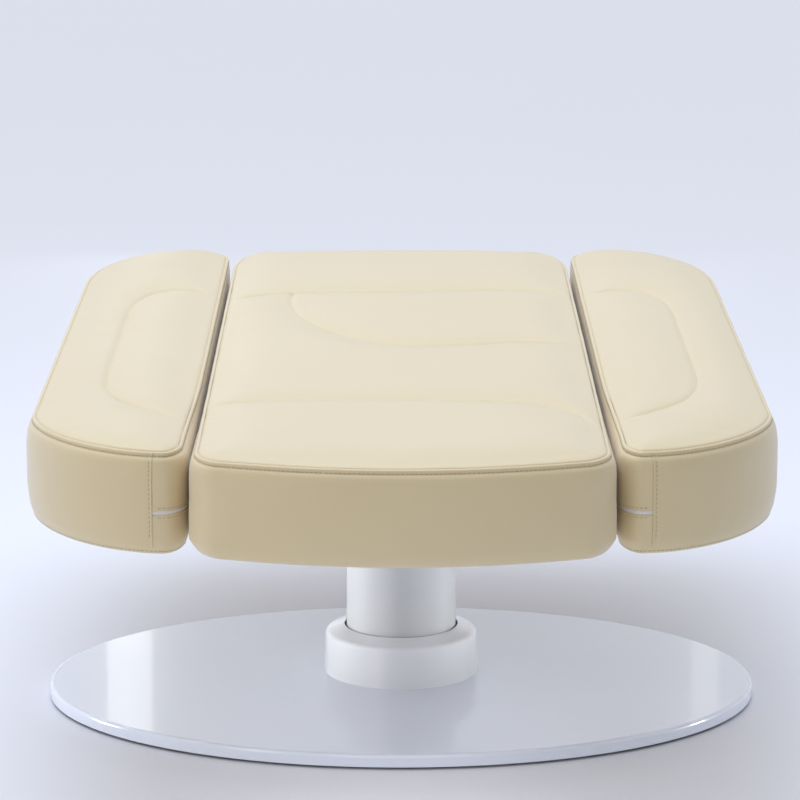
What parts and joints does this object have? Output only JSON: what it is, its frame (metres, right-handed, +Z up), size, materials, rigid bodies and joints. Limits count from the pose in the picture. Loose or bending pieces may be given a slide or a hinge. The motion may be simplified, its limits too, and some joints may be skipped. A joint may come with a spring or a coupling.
{
  "type": "electric treatment bed",
  "caption": "Flat padded treatment bed on a telescopic electric column with an oval base; long side wings fold down on hinges.",
  "frame": {"origin": "on the floor under the middle of the cushions' outline", "axes": "+Y along the bed away from the pictured end, +X to the picture's right, +Z up"},
  "size_m": [1.268, 1.91, 0.655],
  "materials": {
    "base_gloss": "gloss",
    "column_satin": "satin",
    "frame_grey": "satin",
    "bright_steel": "satin",
    "black_rubber": "matte",
    "dark_plastic": "matte",
    "glide_plastic": "matte",
    "cream_leather": "satin",
    "seat_foam": "matte",
    "birch_ply": "matte",
    "circuit_board": "satin",
    "contact_brass": "satin"
  },
  "bodies": {
    "base": {"base_cover": "base_gloss", "base_plate": "bright_steel", "base_rib_front": "frame_grey", "base_rib_rear": "frame_grey", "base_rib_left": "frame_grey", "base_rib_right": "frame_grey", "foot_pads": "black_rubber", "column_flange": "frame_grey", "flange_bolts": "bright_steel", "column_tube": "column_satin", "upper_glide": "glide_plastic", "column_collar": "base_gloss", "collar_seal": "black_rubber", "rod_foot": "frame_grey", "rod_pin": "bright_steel", "push_rod": "bright_steel"},
    "lift": {"lift_tube": "column_satin", "lower_glide": "glide_plastic", "head_plate": "frame_grey", "head_plate_bolts": "bright_steel", "drive_tube": "frame_grey", "drive_gearbox": "dark_plastic", "drive_motor": "bright_steel", "motor_lead": "black_rubber", "rail_left": "frame_grey", "rail_right": "frame_grey", "rail_end_caps": "dark_plastic", "cross_member_front": "frame_grey", "cross_member_middle": "frame_grey", "cross_member_rear": "frame_grey", "hinge_pins_left": "bright_steel", "hinge_pins_right": "bright_steel", "seat_board": "birch_ply", "centre_foam": "seat_foam", "centre_cushion": "cream_leather", "control_box": "dark_plastic", "control_box_lid": "dark_plastic", "control_board": "circuit_board", "power_inlet": "dark_plastic", "inlet_pins": "contact_brass", "switch_frame": "dark_plastic"},
    "switch": {"switch_rocker": "black_rubber"},
    "wing_left": {"wing_board_left": "birch_ply", "wing_foam_left": "seat_foam", "wing_cushion_left": "cream_leather", "wing_rail_left": "frame_grey", "hinge_arm_left_front": "frame_grey", "hinge_arm_left_middle": "frame_grey", "hinge_arm_left_rear": "frame_grey"},
    "wing_right": {"wing_board_right": "birch_ply", "wing_foam_right": "seat_foam", "wing_cushion_right": "cream_leather", "wing_rail_right": "frame_grey", "hinge_arm_right_front": "frame_grey", "hinge_arm_right_middle": "frame_grey", "hinge_arm_right_rear": "frame_grey"}
  },
  "joints": [
    {"name": "lift_slide", "type": "slide", "parent": "base", "child": "lift", "axis": [0, 0, 1], "range_m": [0, 0.25]},
    {"name": "wing_left_fold", "type": "hinge", "parent": "lift", "child": "wing_left", "pos_m": [-0.34, 0.07, 0.459], "axis": [0, -1, 0], "range_deg": [0, 90]},
    {"name": "wing_right_fold", "type": "hinge", "parent": "lift", "child": "wing_right", "pos_m": [0.34, 0.07, 0.459], "axis": [0, 1, 0], "range_deg": [0, 90]},
    {"name": "switch_rock", "type": "hinge", "parent": "lift", "child": "switch", "pos_m": [0.042, 0.4585, 0.4525], "axis": [0, 0, 1], "range_deg": [0, 12]}
  ]
}
